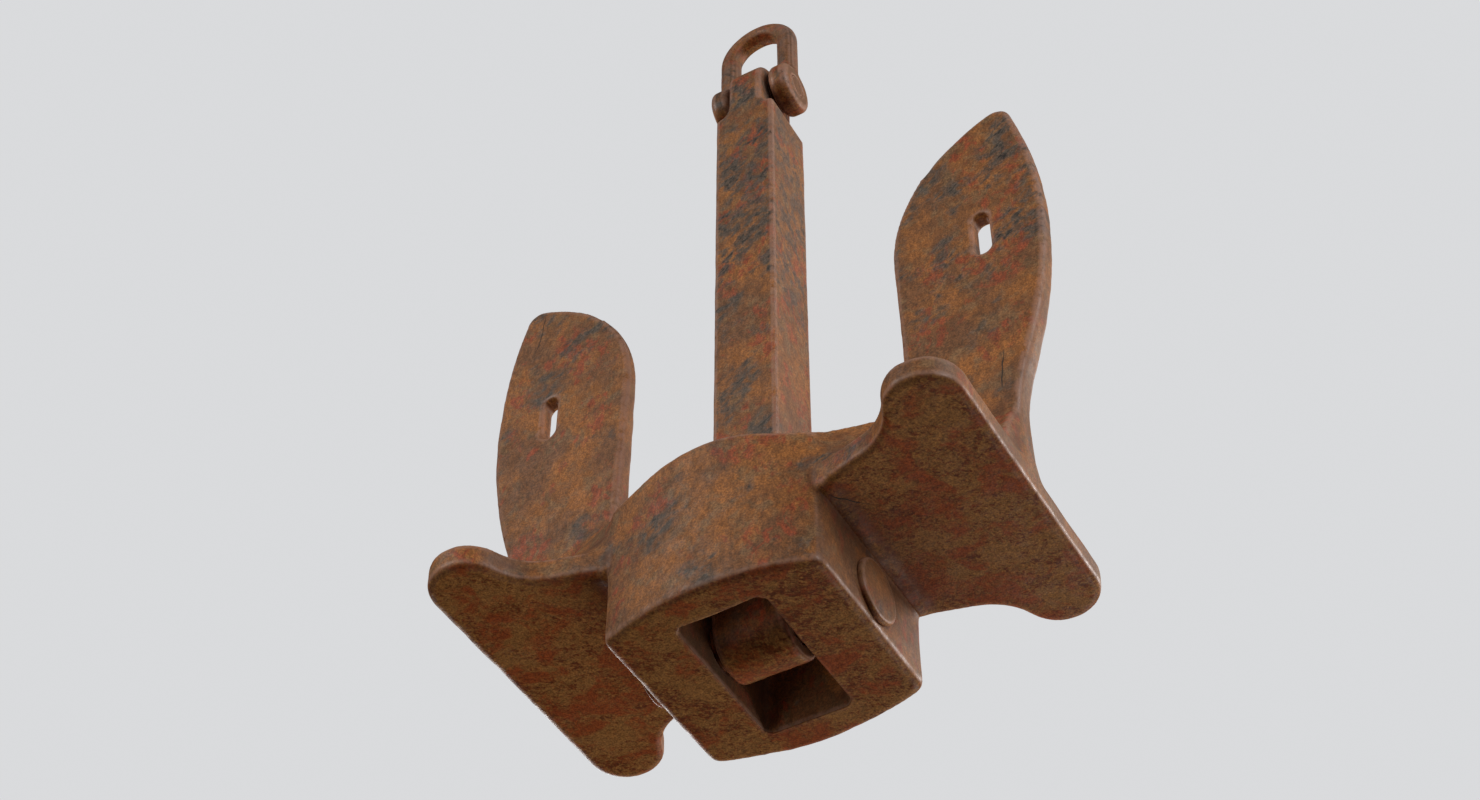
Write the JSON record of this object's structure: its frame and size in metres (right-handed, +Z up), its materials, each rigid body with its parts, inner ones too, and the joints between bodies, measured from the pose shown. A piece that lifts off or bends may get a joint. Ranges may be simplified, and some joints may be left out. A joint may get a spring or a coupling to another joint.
{
  "type": "stockless anchor",
  "caption": "Rusty cast stockless ship's anchor with slotted flukes, tripping palms, a swinging square shank and a chain shackle.",
  "frame": {"origin": "middle of the head's flat underside", "axes": "+Z up the shank towards the shackle, X from fluke to fluke along the crown pin, +Y towards the back"},
  "size_m": [1.184, 0.644, 1.818],
  "materials": {
    "rusted_casting": "rough rust",
    "rusted_forging": "rough rust",
    "lead_plug": "dull grey metal"
  },
  "bodies": {
    "head": {"head": "rusted_casting", "crown_pin": "rusted_forging", "crown_pin_caps": "rusted_casting", "crown_pin_keepers": "rusted_forging"},
    "shank": {"shank": "rusted_forging"},
    "shackle": {"shackle_bow": "rusted_forging", "shackle_pin": "rusted_forging", "shackle_forelock": "rusted_forging", "shackle_plug": "lead_plug"}
  },
  "joints": [
    {"name": "shank_swing", "type": "hinge", "parent": "head", "child": "shank", "pos_m": [0, 0, 0.073], "axis": [1, 0, 0], "range_deg": [-24, 24]},
    {"name": "shackle_swing", "type": "hinge", "parent": "shank", "child": "shackle", "pos_m": [0, 0, 1.557], "axis": [1, 0, 0], "range_deg": [-125, 125]}
  ]
}
